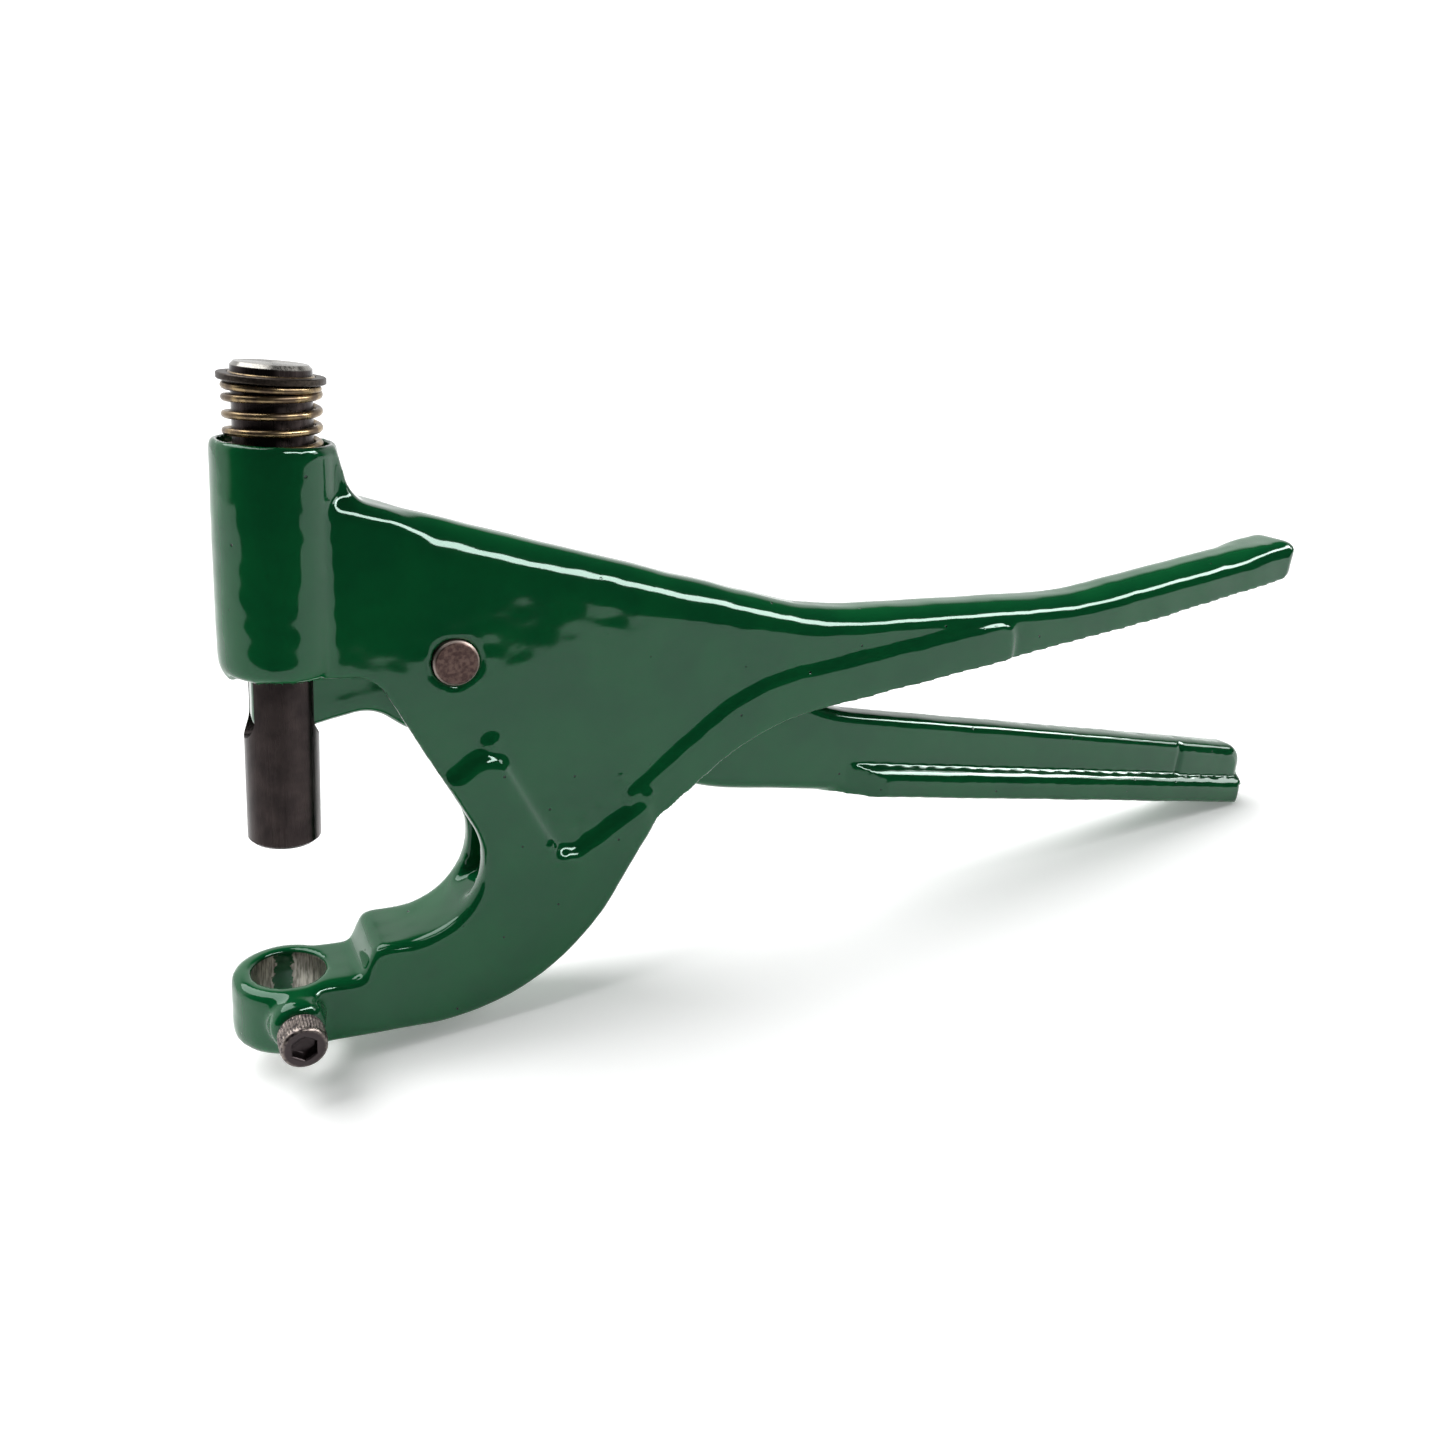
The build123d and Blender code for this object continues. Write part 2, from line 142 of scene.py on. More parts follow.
def relief(tree, shader, *layers):
    """Lays reliefs over one another; each layer is a height from 0 to 1 and its depth in mm."""
    under = {}
    for height, depth in layers:
        inputs = {"Height": height, "Distance": depth * MM, "Strength": 1.0, **under}
        under = {"Normal": add(tree, "Bump", inputs)[0]}
    tree.links.new(under["Normal"], shader.inputs["Normal"])


def radius_about(tree, place, axis, centre=(0, 0, 0)):
    """Distance in mm from the line through centre along an axis, 0 to 2 for X to Z."""
    keep = tuple(0 if i == axis else 1 for i in range(3))
    moved = add(tree, "VectorMath", {0: place, 1: tuple(centre)}, operation="SUBTRACT")[0]
    flat = add(tree, "VectorMath", {0: moved, 1: keep}, operation="MULTIPLY")[0]
    return add(tree, "VectorMath", {0: flat}, operation="LENGTH")["Value"]


# ---- finishes -----------------------------------------------------------------------------------
def stoved_enamel(name, bored=False):
    """Thick stoving enamel over a rough iron casting: deep green gloss, a little lighter and
    darker every 14 mm, with waves 11 mm long, orange peel 3 mm across, and pits on a 7 mm spacing
    where the casting's grain broke through.  The frame's die bore is bare."""
    gloss, bare_rough = 0.07, 0.38
    tint = linear("cdeade")
    material, tree, shader, place = start(name, "04502a", gloss, IOR=1.54, Specular_Tint=tint)
    uneven = add(tree, "TexNoise", {"Vector": place, "Scale": 1 / 14.0, "Detail": 2.0})["Fac"]
    thick = add(tree, "MapRange", {"Value": uneven, "From Min": 0.3, "From Max": 0.7}, **SMOOTH)[0]
    greens = {"Factor": thick, 6: linear("034d28"), 7: linear("05552b")}
    coat = add(tree, "Mix", greens, **COLOURS)[2]
    cells = add(tree, "TexVoronoi", {"Vector": place, "Scale": 1 / 7.0})["Distance"]
    sound = add(tree, "MapRange", {"Value": cells, "From Min": 0.03, "From Max": 0.06}, **SMOOTH)[0]
    colour = add(tree, "Mix", {"Factor": sound, 6: linear("020d07"), 7: coat}, **COLOURS)[2]
    long_waves = add(tree, "TexNoise", {"Vector": place, "Scale": 1 / 11.0, "Detail": 1.0})["Fac"]
    peel = add(tree, "TexNoise", {"Vector": place, "Scale": 1 / 3.0, "Detail": 1.0})["Fac"]
    relief(tree, shader, (long_waves, 0.10), (peel, 0.012), (sound, 0.05))
    if bored:
        bare = bare_bore(tree, place)
        drawn = add(tree, "Mapping", {"Vector": place, "Scale": (1 / 0.5, 1 / 0.5, 1 / 3.0)})[0]
        lines = add(tree, "TexNoise", {"Vector": drawn, "Scale": 1.0, "Detail": 3.0})["Fac"]
        worn = add(tree, "MapRange", {"Value": lines, "From Min": 0.3, "From Max": 0.7}, **SMOOTH)[0]
        greys = {"Factor": worn, 6: linear("6d6a64"), 7: linear("b9b5ab")}
        steel = add(tree, "Mix", greys, **COLOURS)[2]
        colour = add(tree, "Mix", {"Factor": bare, 6: colour, 7: steel}, **COLOURS)[2]
        metal = add(tree, "Math", {0: bare, 1: 0.9}, operation="MULTIPLY")[0]
        limits = {"Value": bare, "To Min": gloss, "To Max": bare_rough}
        tree.links.new(metal, shader.inputs["Metallic"])
        tree.links.new(add(tree, "MapRange", limits, **SMOOTH)[0], shader.inputs["Roughness"])
    tree.links.new(colour, shader.inputs["Base Color"])
    return material


def bare_bore(tree, place):
    """Share of bare steel: 1 on the die bore's wall between its enamelled lips, apart from a run
    of enamel down its far side, and 0 elsewhere.  Both edges are ragged."""
    parts = add(tree, "SeparateXYZ", {0: place})
    radius = radius_about(tree, place, 2)
    ragged = add(tree, "TexNoise", {"Vector": place, "Scale": 1 / 1.2, "Detail": 2.0})["Fac"]
    out = add(tree, "Math", {0: ragged, 1: 0.3, 2: radius}, operation="MULTIPLY_ADD")[0]
    turn = add(tree, "Math", {0: parts["Y"], 1: parts["X"]}, operation="ARCTAN2")[0]
    past_run = add(tree, "Math", {0: turn, 1: 1.62}, operation="SUBTRACT")[0]
    from_run = add(tree, "Math", {0: past_run}, operation="ABSOLUTE")[0]
    wander = add(tree, "TexNoise", {"Vector": place, "Scale": 1 / 2.0, "Detail": 2.0})["Fac"]
    run_edge = add(tree, "Math", {0: wander, 1: 0.5, 2: from_run}, operation="MULTIPLY_ADD")[0]
    limits = (
        (out, die_bore_r + 0.25, die_bore_r + 0.45, 1.0, 0.0),
        (parts["Z"], -1.0, -0.6, 1.0, 0.0),
        (parts["Z"], -ring_height + 0.6, -ring_height + 1.0, 0.0, 1.0),
        (run_edge, 0.46, 0.52, 0.0, 1.0),
    )
    bare = 1.0
    for value, low, high, first, last in limits:
        ends = {"From Min": low, "From Max": high, "To Min": first, "To Max": last}
        share = add(tree, "MapRange", {"Value": value, **ends}, **SMOOTH)[0]
        bare = add(tree, "Math", {0: bare, 1: share}, operation="MULTIPLY")[0]
    return bare


def blackened_steel():
    """Ground rod, oil blackened: brown-black, with fine grinding lines along the ram that draw each
    reflection out into an upright band.  Its end face is painted light grey: a painted reflection of the
    bright backdrop."""
    material, tree, shader, place = start("oil_blackened_ground_steel", "35302f", 0.3, 1.0)
    fine, long = 1 / 0.35, 1 / (0.35 * 30)
    drawn = add(tree, "Mapping", {"Vector": place, "Scale": (fine, fine, long)})[0]
    lines = add(tree, "TexNoise", {"Vector": drawn, "Scale": 1.0, "Detail": 2.0})["Fac"]
    oil = add(tree, "TexNoise", {"Vector": place, "Scale": 1 / 6.0, "Detail": 3.0})["Fac"]
    patches = add(tree, "MapRange", {"Value": oil, "From Min": 0.3, "From Max": 0.7}, **SMOOTH)[0]
    browns = {"Factor": patches, 6: linear("2c2727"), 7: linear("3b3433")}
    side = add(tree, "Mix", browns, **COLOURS)[2]
    height = add(tree, "SeparateXYZ", {0: place})["Z"]
    # Painted reflection: the end face and its chamfer get a light grey colour for the bright backdrop
    # they reflect.
    edge = {"Value": height, "From Min": ram_high[2] - 0.9, "From Max": ram_high[2] - 0.6}
    top = add(tree, "MapRange", edge, **SMOOTH)[0]
    colour = add(tree, "Mix", {"Factor": top, 6: side, 7: linear("8b8984")}, **COLOURS)[2]
    matt = {"Value": lines, "From Min": 0.3, "From Max": 0.7, "To Min": 0.24, "To Max": 0.36}
    tree.links.new(colour, shader.inputs["Base Color"])
    tree.links.new(add(tree, "MapRange", matt, **SMOOTH)[0], shader.inputs["Roughness"])
    relief(tree, shader, (lines, 0.004))
    shader.inputs["Anisotropic"].default_value = 0.85
    shader.inputs["Anisotropic Rotation"].default_value = 0.25
    around = add(tree, "Tangent", direction_type="RADIAL", axis="Z")["Tangent"]
    tree.links.new(around, shader.inputs["Tangent"])
    return material


def spring_wire():
    """Oil-tempered spring wire: a bronze film over drawn steel, browner where the oil stood."""
    material, tree, shader, place = start("oil_tempered_spring_wire", "7d6b54", 0.3, 1.0)
    oil = add(tree, "TexNoise", {"Vector": place, "Scale": 1 / 2.5, "Detail": 3.0})["Fac"]
    film = add(tree, "MapRange", {"Value": oil, "From Min": 0.35, "From Max": 0.65}, **SMOOTH)[0]
    bronzes = {"Factor": film, 6: linear("5a4c3e"), 7: linear("94805f")}
    matt = {"Value": oil, "From Min": 0.3, "From Max": 0.7, "To Min": 0.36, "To Max": 0.24}
    tree.links.new(add(tree, "Mix", bronzes, **COLOURS)[2], shader.inputs["Base Color"])
    tree.links.new(add(tree, "MapRange", matt, **SMOOTH)[0], shader.inputs["Roughness"])
    return material


def stamped_washer():
    """Stamped steel washer, oiled and browned: dull, with a grain of half a millimetre."""
    material, tree, shader, place = start("stamped_washer_steel", "3a342f", 0.42, 1.0)
    grain = add(tree, "TexNoise", {"Vector": place, "Scale": 1 / 0.5, "Detail": 3.0})["Fac"]
    share = add(tree, "MapRange", {"Value": grain, "From Min": 0.3, "From Max": 0.7}, **SMOOTH)[0]
    browns = {"Factor": share, 6: linear("2e2925"), 7: linear("453e38")}
    tree.links.new(add(tree, "Mix", browns, **COLOURS)[2], shader.inputs["Base Color"])
    relief(tree, shader, (grain, 0.01))
    return material


def turned_pin():
    """Pin end faced in a lathe and browned: tool rings 0.3 mm apart and a bright bevel."""
    material, tree, shader, place = start("turned_browned_steel", "5c4b48", 0.45, 1.0)
    radius = radius_about(tree, place, 1, pivot)
    turns = add(tree, "Math", {0: radius, 1: 2 * pi / 0.3}, operation="MULTIPLY")[0]
    rings = add(tree, "Math", {0: turns}, operation="SINE")[0]
    mottle = add(tree, "TexNoise", {"Vector": place, "Scale": 1 / 0.8, "Detail": 4.0})["Fac"]
    share = add(tree, "MapRange", {"Value": mottle, "From Min": 0.3, "From Max": 0.7}, **SMOOTH)[0]
    browns = {"Factor": share, 6: linear("4a3a38"), 7: linear("6b5852")}
    face = add(tree, "Mix", browns, **COLOURS)[2]
    bevel = add(tree, "MapRange", {"Value": radius, "From Min": 4.5, "From Max": 4.75}, **SMOOTH)[0]
    colour = add(tree, "Mix", {"Factor": bevel, 6: face, 7: linear("978a83")}, **COLOURS)[2]
    tree.links.new(colour, shader.inputs["Base Color"])
    grooves = add(tree, "Math", {0: rings, 1: 0.5, 2: mottle}, operation="MULTIPLY_ADD")[0]
    relief(tree, shader, (grooves, 0.006))
    return material


def black_oxide():
    """Cap screw steel with black oxide: satin black, rubbed to brown-grey on its outer edges."""
    material, tree, shader, place = start("black_oxide_steel", "454041", 0.36, 1.0)
    radius = radius_about(tree, place, 1, screw_middle)
    edge = add(tree, "MapRange", {"Value": radius, "From Min": 3.9, "From Max": 4.8}, **SMOOTH)[0]
    wear = add(tree, "TexNoise", {"Vector": place, "Scale": 1 / 0.9, "Detail": 2.0})["Fac"]
    worn = add(tree, "MapRange", {"Value": wear, "From Min": 0.3, "From Max": 0.6}, **SMOOTH)[0]
    rubbed = add(tree, "Math", {0: edge, 1: worn}, operation="MULTIPLY")[0]
    blacks = {"Factor": rubbed, 6: linear("3d3738"), 7: linear("8a807a")}
    tree.links.new(add(tree, "Mix", blacks, **COLOURS)[2], shader.inputs["Base Color"])
    grain = add(tree, "TexNoise", {"Vector": place, "Scale": 1 / 0.25, "Detail": 3.0})["Fac"]
    relief(tree, shader, (grain, 0.008))
    return material


def paper():
    """Matt white paper with a faint glow of its own: painted light from below that keeps the shadows
    pale.
    """
    white = linear("ffffff")
    # The emission is painted light: it lifts the tool's shadows on the floor and lights the tool's
    # undersides.
    return start("glowing_white_paper", "fbfbfb", 0.9, Emission_Color=white, Emission_Strength=0.2)[0]


# ---- meshes -------------------------------------------------------------------------------------
def piece(name, points, faces, body, material, node):
    """A smooth-shaded object from points in mm and faces; it rides on body and replaces node."""
    mesh = bpy.data.meshes.new(name)
    mesh.from_pydata((points * MM).tolist(), [], faces)
    mesh.validate()
    mesh.shade_smooth()
    mesh.materials.append(material)
    made = bpy.data.objects.new(name, mesh)
    bpy.context.scene.collection.objects.link(made)
    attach(made, body)
    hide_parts(node)
    return made


def lattice(rows, columns):
    """Faces of a grid of rows that each close on themselves.  One more point before the first row
    and one after the last close the surface; their numbers follow the grid's."""
    row, column = np.meshgrid(np.arange(rows - 1), np.arange(columns), indexing="ij")
    here, beside = row * columns + column, row * columns + (column + 1) % columns
    faces = np.stack([here, beside, beside + columns, here + columns], -1).reshape(-1, 4).tolist()
    turn = np.arange(columns)
    after = (turn + 1) % columns
    first, last = rows * columns, rows * columns + 1
    top = (rows - 1) * columns
    faces += np.stack([np.full(columns, first), after, turn], -1).tolist()
    faces += np.stack([np.full(columns, last), top + turn, top + after], -1).tolist()
    return faces


def vertices(mesh):
    """A mesh's vertices in metres, one to a row."""
    points = np.empty(len(mesh.vertices) * 3)
    mesh.vertices.foreach_get("co", points)
    return points.reshape(-1, 3)


def softened(name, voxel, passes):
    """A node's mesh merged, remade on voxels and smoothed, as points, normals and faces in mm.
    The smoothing gives every edge the round that a thick coat of enamel has."""
    mesh = frame["nodes"][name].data.copy()
    work = bmesh.new()
    work.from_mesh(mesh)
    bmesh.ops.remove_doubles(work, verts=work.verts, dist=0.002 * MM)
    work.to_mesh(mesh)
    work.free()
    made = bpy.data.objects.new("soft_" + name, mesh)
    bpy.context.scene.collection.objects.link(made)
    remesh = made.modifiers.new("voxels", "REMESH")
    remesh.mode, remesh.voxel_size = "VOXEL", voxel * MM
    smooth = made.modifiers.new("smooth", "SMOOTH")
    smooth.factor, smooth.iterations = 0.5, passes
    bpy.context.view_layer.update()
    done = bpy.data.meshes.new_from_object(made.evaluated_get(bpy.context.evaluated_depsgraph_get()))
    bpy.data.objects.remove(made)
    points = vertices(done) / MM
    normals = np.empty(len(done.vertices) * 3)
    done.vertex_normals.foreach_get("vector", normals)
    faces = [tuple(polygon.vertices) for polygon in done.polygons]
    bpy.data.meshes.remove(done)
    return points, normals.reshape(-1, 3), faces


def waves(points, size, seed, count=14):
    """A smooth random field of about -1 to 1: a sum of plane waves about size mm long, each with
    its own random direction and phase."""
    random = np.random.default_rng(seed)
    directions = random.normal(size=(count, 3))
    directions *= 2 * pi / (size * np.linalg.norm(directions, axis=1, keepdims=True))
    phases = random.uniform(0, 2 * pi, count)
    return np.sin(points @ directions.T + phases).sum(1) * (2 / count) ** 0.5 / 1.5


def step(value, low, high):
    """Smoothstep of an array from 0 at low to 1 at high."""
    share = np.clip((value - low) / (high - low), 0, 1)
    return share * share * (3 - 2 * share)


# ---- the frame casting --------------------------------------------------------------------------
def top_height(points):
    """Height of the casting's top edge over each point: the highest point of each millimetre of
    X, averaged over 13 of them, 6 on each side."""
    along, spread = points[:, 0], 6
    columns = np.clip(along, 0, None).astype(int)
    top = np.full(columns.max() + 1, -np.inf)
    np.maximum.at(top, columns, points[:, 2])
    middle = np.arange(len(top)) + 0.5
    known = np.isfinite(top)
    longer = np.interp(np.arange(-spread, len(top) + spread) + 0.5, middle[known], top[known])
    share = np.full(2 * spread + 1, 1 / (2 * spread + 1))
    return np.interp(along, middle, np.convolve(longer, share, "valid"))


def crowned(points):
    """Rounds the long top edges of the web and the handle as thick enamel over a hand-fettled
    casting leaves them.  Outside the quarter ellipse (y/a)^2 + (z/b)^2 = 1 on each side of the
    top, a point is drawn back to the ellipse along the line to its centre; a is 7.4 mm, and b
    falls from 9.5 to 5.5 mm towards the handle."""
    across, along = 7.4, points[:, 0]
    height = top_height(points)
    down = 9.5 - 4.0 * step(along, 75, 150)
    out_y = (np.abs(points[:, 1]) - web_half + across) / across
    out_z = (points[:, 2] - height + down) / down
    reach = np.hypot(out_y, out_z)
    between = (along > crown_start_x) & (along < crown_end_x)
    outside = (out_y > 0) & (out_z > 0) & (reach > 1) & between
    share = step(along, crown_start_x, crown_full_x) * step(along, crown_end_x, crown_end_x - crown_fade)
    kept = 1 + (1 / np.maximum(reach, 1) - 1) * share
    new_y = np.sign(points[:, 1]) * (web_half - across + across * out_y * kept)
    new_z = height - down + down * out_z * kept
    points[outside, 1], points[outside, 2] = new_y[outside], new_z[outside]


def tongued(points):
    """Rounds the handle's lower corner: u runs along the handle and w up from its lower edge, and
    what lies outside the ellipse (u/10)^2 + (w/7.5)^2 = 1 is drawn back to it."""
    long, tall = 10.0, 7.5
    away_x, away_z = points[:, 0] - casting_high[0], points[:, 2] - handle_low_z
    u = away_x * cos(handle_lean) + away_z * sin(handle_lean)
    w = away_z * cos(handle_lean) - away_x * sin(handle_lean)
    out_u, out_w = u / long + 1, 1 - w / tall
    reach = np.hypot(out_u, out_w)
    outside = (out_u > 0) & (out_w > 0) & (reach > 1)
    u = np.where(outside, long * (out_u / reach - 1), u)
    w = np.where(outside, tall * (1 - out_w / reach), w)
    points[:, 0] = casting_high[0] + u * cos(handle_lean) - w * sin(handle_lean)
    points[:, 2] = handle_low_z + u * sin(handle_lean) + w * cos(handle_lean)


def beaded(points, normals):
    """Beads and hollows of enamel in the corners of the near side's raised panel.  Each is a bell
    exp(-(d/size)^2) of the distance d from its place (x, z), as high as its last number."""
    near = points[:, 1] < 0
    beads = (
        (42.8, 53.6, 1.9, 0.7),
        (61.3, 24.6, 1.9, 0.9),
        (81.4, 37.6, 1.6, 0.7),
        (64.5, 31.5, 1.4, -0.35),
        (68.5, 35.0, 1.2, -0.3),
        (74.5, 42.5, 1.5, 0.35),
        (57.0, 27.5, 1.2, 0.4),
    )
    for x, z, size, height in beads:
        away = np.hypot(points[:, 0] - x, points[:, 2] - z) / size
        points += normals * (height * np.exp(-away ** 2) * near)[:, None]


def dripped(points, radius):
    """Pulls the guide tube's lower rim down by up to 1.1 mm, in drips that follow waves round
    it, and fades out 1.6 mm up the tube."""
    angle = np.arctan2(points[:, 1], points[:, 0])
    on_rim = (np.abs(radius - rim_r) < rim_half) & (points[:, 2] > tube_low_z - 1)
    share = on_rim * step(points[:, 2], tube_low_z + 1.6, tube_low_z)
    round_it = np.c_[12 * angle, 0 * angle, 0 * angle]
    points[:, 2] -= 1.1 * np.clip(waves(round_it, 3.0, 9, 9), 0, 1) * share


def casting():
    """The frame casting under its enamel: softened, crowned, waved 0.06 mm over 16 mm and 0.02 mm
    over 5 mm, beaded and dripped.  The machined bores are then set back to their true radius."""
    points, normals, faces = softened("frame_casting", 0.82, 8)
    crowned(points)
    tongued(points)
    points += normals * (0.06 * waves(points, 16.0, 3) + 0.02 * waves(points, 5.0, 4))[:, None]
    beaded(points, normals)
    radius = np.hypot(points[:, 0], points[:, 1])
    dripped(points, radius)
    bores = (
        (die_bore_r, casting_low[2] + 0.8, -0.8),
        (guide_r, tube_low_z + 1, guide_high_z),
        (seat_r, seat_low_z, seat_high_z),
    )
    for bore, low, high in bores:
        inside = (np.abs(radius - bore) < 0.7) & (points[:, 2] > low) & (points[:, 2] < high)
        points[inside, :2] *= (bore / radius[inside])[:, None]
    points = np.clip(points, casting_low, casting_high)
    enamel = stoved_enamel("stoved_enamel_frame", bored=True)
    piece("enamelled_frame", points, faces, "frame", enamel, "frame_casting")


# ---- the lever ----------------------------------------------------------------------------------
def lever():
    """The squeeze lever under its enamel: softened and waved, with its flange's top swelled by
    half a sine across, a groove where the tip's pad starts, and its pivot hole kept clear."""
    points, normals, faces = softened("squeeze_lever", 0.66, 6)
    points += normals * (0.05 * waves(points, 18.0, 5) + 0.015 * waves(points, 5.0, 6))[:, None]
    side = np.abs(points[:, 1])
    slope = (side > blade_half) & (normals[:, 2] > 0.4) & (points[:, 0] > flange_x)
    out = np.clip((side - blade_half) / (flange_half - blade_half), 0, 1)
    points += normals * (0.5 * np.sin(pi * out) * slope)[:, None]
    blade = (side < 5.3) & (side > 3.0)
    points[:, 1] *= 1 - 0.09 * np.exp(-((points[:, 0] - pad_x) / 0.7) ** 2) * blade
    away = points - pivot
    radius = np.hypot(away[:, 0], away[:, 2])
    hole = radius < lever_hole_r + 0.8
    scale = np.c_[lever_hole_r / radius, np.ones_like(radius), lever_hole_r / radius]
    points[hole] = (pivot + away * scale)[hole]
    points = np.clip(points, lever_low, lever_high)
    enamel = stoved_enamel("stoved_enamel_lever")
    piece("enamelled_lever", points, faces, "lever", enamel, "squeeze_lever")


# ---- the return spring --------------------------------------------------------------------------
def spring():
    """Closed-end compression spring.  The wire's middle runs round a circle while it climbs: the
    dead turns at both ends rise by 0.6 of the wire's thickness a turn, and the turns between
    share the rest.  A circle across the wire is carried along that path."""
    turns, dead, steps, around, first_angle = 7.85, 0.85, 72, 14, 0.6
    low, high = spring_low[2] + wire_d / 2, spring_high[2] - wire_d / 2
    middle_r = spring_high[0] - wire_d / 2
    dead_rise = 0.6 * wire_d
    turn = np.linspace(0, turns, int(turns * steps) + 1)
    pitch = (high - low - 2 * dead * dead_rise) / (turns - 2 * dead)
    climb = np.where(turn < dead, turn * dead_rise, dead * dead_rise + (turn - dead) * pitch)
    climb = np.minimum(climb, high - low - (turns - turn) * dead_rise)
    angle = 2 * pi * turn + first_angle
    out = np.c_[np.cos(angle), np.sin(angle), np.zeros_like(angle)]
    path = middle_r * out + np.c_[np.zeros_like(angle), np.zeros_like(angle), low + climb]
    section = np.linspace(0, 2 * pi, around, endpoint=False)[None, :, None]
    rise = np.array([0, 0, 1.0])
    rings = path[:, None] + wire_d / 2 * (np.cos(section) * out[:, None] + np.sin(section) * rise)
    rings[:, :, 2] = np.clip(rings[:, :, 2], spring_low[2], spring_high[2])
    points = np.r_[rings.reshape(-1, 3), rings[0].mean(0)[None], rings[-1].mean(0)[None]]
    faces = [face[::-1] for face in lattice(len(path), around)]
    wire = spring_wire()
    made = piece("wound_spring", points, faces, "frame", wire, "return_spring")
    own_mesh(made)


# ---- the die clamp screw ------------------------------------------------------------------------
def clamp_screw():
    """M6 socket head cap screw, turned about its axis from a profile of y and radius: a knurled
    head whose radius ripples 44 times round, a hexagon socket whose radius is its flat over the
    cosine of the angle from that flat, and a thread whose radius follows a triangle wave along
    the helix."""
    columns, ridges, flat_angle = 352, 44, pi / 3
    turn = np.linspace(0, 2 * pi, columns, endpoint=False)
    even = np.ones_like(turn)
    front, tip = screw_low[1], screw_high[1]
    back = front + screw_head_height
    knurl = screw_head_r - 0.26 * (0.5 - 0.5 * np.cos(ridges * turn)) ** 0.7
    hexagon = screw_flat / np.cos((turn + flat_angle / 2) % flat_angle - flat_angle / 2)
    rows = [(tip, 2.2 * even), (tip - 0.5, 2.75 * even)]
    for y in np.arange(tip - 0.6, back, -0.125):
        wave = np.abs((y / screw_pitch + turn / (2 * pi)) % 1.0 - 0.5) * 2
        rows.append((y, 2.42 + 0.55 * wave))
    rows += [(back, 3.0 * even), (back, 4.6 * even), (back - 0.25, 4.9 * even)]
    rows += [(y, knurl) for y in (back - 0.5, back - 2.0, front + 2.2, front + 1.3)]
    rim = ((1.15, 4.86), (0.55, 4.8), (0.15, 4.5), (0.0, 4.15), (0.0, 3.1))
    rows += [(front + depth, radius * even) for depth, radius in rim]
    rows += [(front + 0.12, hexagon + 0.05), (front + 0.35, hexagon), (front + 2.8, hexagon)]
    rows += [(front + 2.9, 2.3 * even)]
    x, z = screw_middle[0], screw_middle[2]
    grid = [np.c_[x + r * np.cos(turn), np.full(columns, y), z + r * np.sin(turn)] for y, r in rows]
    points = np.r_[np.array(grid).reshape(-1, 3), [(x, tip, z), (x, front + 3.4, z)]]
    faces, steel = lattice(len(rows), columns), black_oxide()
    piece("knurled_cap_screw", points, faces, "clamp_screw", steel, "die_clamp_screw")


# ---- floor, light and camera --------------------------------------------------------------------
def floor():
    """White paper, leaning so that the arm's underside and the lever's tip both touch it.  It ends
    in front of the tool, and the enamel shows that end."""
    lean = radians(7.15)
    along, up = Vector((cos(lean), 0, sin(lean))), Vector((-sin(lean), 0, cos(lean)))
    seen = [o.data for o in bpy.context.scene.objects if o.type == "MESH" and not o.hide_render]
    lowest = min(float((vertices(mesh) @ np.array(up)).min()) for mesh in seen)
    spans = ((-2.5, -0.26), (0.12, -0.27), (0.27, -0.36), (2.5, -0.42), (2.5, 4.0), (-2.5, 4.0))
    mesh = bpy.data.meshes.new("floor")
    points = [up * lowest + along * x + Vector((0, y, 0)) for x, y in spans]
    mesh.from_pydata(points, [], [tuple(range(len(points)))])
    mesh.materials.append(paper())
    made = bpy.data.objects.new("floor", mesh)
    bpy.context.scene.collection.objects.link(made)


def lamp(name, kind, direction, distance, glints=False, **settings):
    """A light that looks at the tool's middle from a distance in metres.  One for glints only
    shows in gloss and leaves the flat shading alone."""
    middle = Vector((100, 0, 50)) * MM
    data = bpy.data.lights.new(name, kind)
    for setting, value in settings.items():
        setattr(data, setting, value)
    place = middle + Vector(direction).normalized() * distance
    turned = (place - middle).to_track_quat("Z", "Y").to_matrix().to_4x4()
    made = bpy.data.objects.new(name, data)
    made.matrix_world = Matrix.Translation(place) @ turned
    made.visible_diffuse = not glints
    bpy.context.scene.collection.objects.link(made)


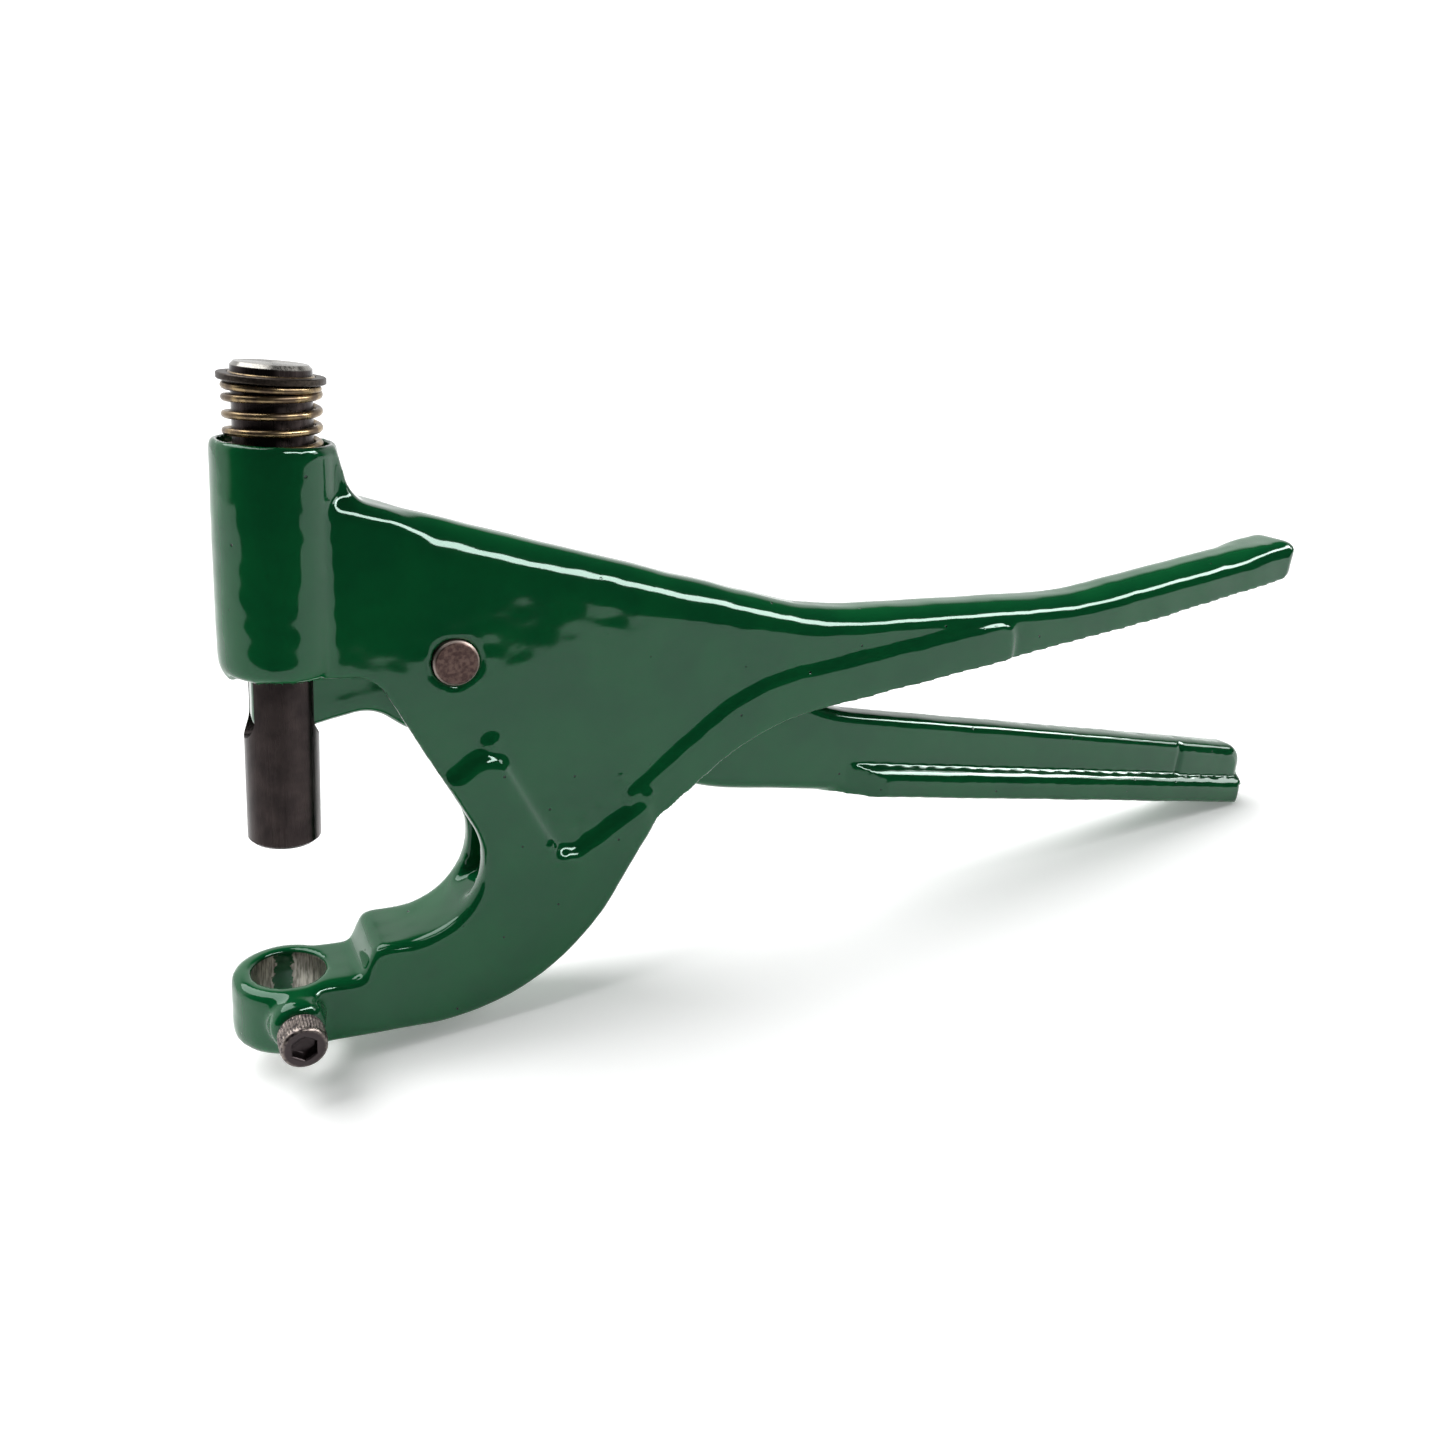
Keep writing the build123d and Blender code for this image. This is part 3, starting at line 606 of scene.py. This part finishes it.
def studio():
    """A white sheet stands behind the tool and fades out between thirty and forty degrees up; the
    rest of the room is dim.  A wide soft light hangs above and behind, a long narrow one above and
    in front draws the bright line along every rounded edge, and a small one stands at the right.
    The camera itself sees plain white."""
    world = bpy.data.worlds.new("studio")
    world.use_nodes = True
    bpy.context.scene.world = world
    tree = world.node_tree
    background = tree.nodes["Background"]
    parts = add(tree, "SeparateXYZ", {0: add(tree, "TexCoord")["Generated"]})
    back = {"Value": parts["Y"], "From Min": -0.05, "From Max": 0.25}
    low = {"Value": parts["Z"], "From Min": 0.50, "From Max": 0.66, "To Min": 1.0, "To Max": 0.0}
    shares = [add(tree, "MapRange", limits, **SMOOTH)[0] for limits in (back, low)]
    sheet = add(tree, "Math", {0: shares[0], 1: shares[1]}, operation="MULTIPLY")[0]
    glow = add(tree, "Math", {0: sheet, 1: 1.05, 2: 0.05}, operation="MULTIPLY_ADD")[0]
    seen = add(tree, "LightPath")["Is Camera Ray"]
    strength = add(tree, "Math", {0: glow, 1: seen}, operation="MAXIMUM")[0]
    tree.links.new(strength, background.inputs["Strength"])
    background.inputs["Color"].default_value = (1, 1, 1, 1)
    lamp("overhead", "SUN", (-0.4, 0.3, 0.87), 2.0, energy=3.5, angle=radians(55))
    long_box = {"shape": "RECTANGLE", "size": 1.55, "size_y": 0.24, "energy": 24.0}
    lamp("strip", "AREA", (0.72, -0.73, 0.85), 1.35, glints=True, **long_box)
    small_box = {"shape": "RECTANGLE", "size": 0.25, "size_y": 0.5, "energy": 3.0}
    lamp("side_window", "AREA", (0.95, -0.25, 0.6), 1.2, **small_box)


def camera():
    """Looks at the web from the front left, a little from above, with a small roll."""
    azimuth, elevation, roll = radians(27.76), radians(19.17), radians(5.54)
    aim, distance = Vector((104.0, 0.0, 51.5)) * MM, 303.6 * MM
    forward = Vector((sin(azimuth) * cos(elevation), cos(azimuth) * cos(elevation), -sin(elevation)))
    level = Vector((cos(azimuth), -sin(azimuth), 0.0))
    upright = level.cross(forward)
    right = level * cos(roll) + upright * sin(roll)
    up = upright * cos(roll) - level * sin(roll)
    data = bpy.data.cameras.new("camera")
    data.lens, data.sensor_width = 30.34, 36.0
    data.clip_start, data.clip_end = 0.01, 20.0
    seen = bpy.data.objects.new("camera", data)
    rotation = Matrix((right, up, -forward)).transposed()
    seen.matrix_world = Matrix.Translation(aim - forward * distance) @ rotation.to_4x4()
    bpy.context.scene.collection.objects.link(seen)
    bpy.context.scene.camera = seen


# ---- everything in its place --------------------------------------------------------------------
finishes = {
    "pivot_pin": turned_pin(),
    "ram": blackened_steel(),
    "ram_grub_screw": black_oxide(),
    "spring_washer": stamped_washer(),
    "snap_ring": spring_wire(),
}
for node, finish in finishes.items():
    materials = frame["nodes"][node].data.materials
    materials.clear()
    materials.append(finish)

casting()
lever()
spring()
clamp_screw()
floor()
studio()
camera()
bpy.context.scene.view_settings.view_transform = "Standard"
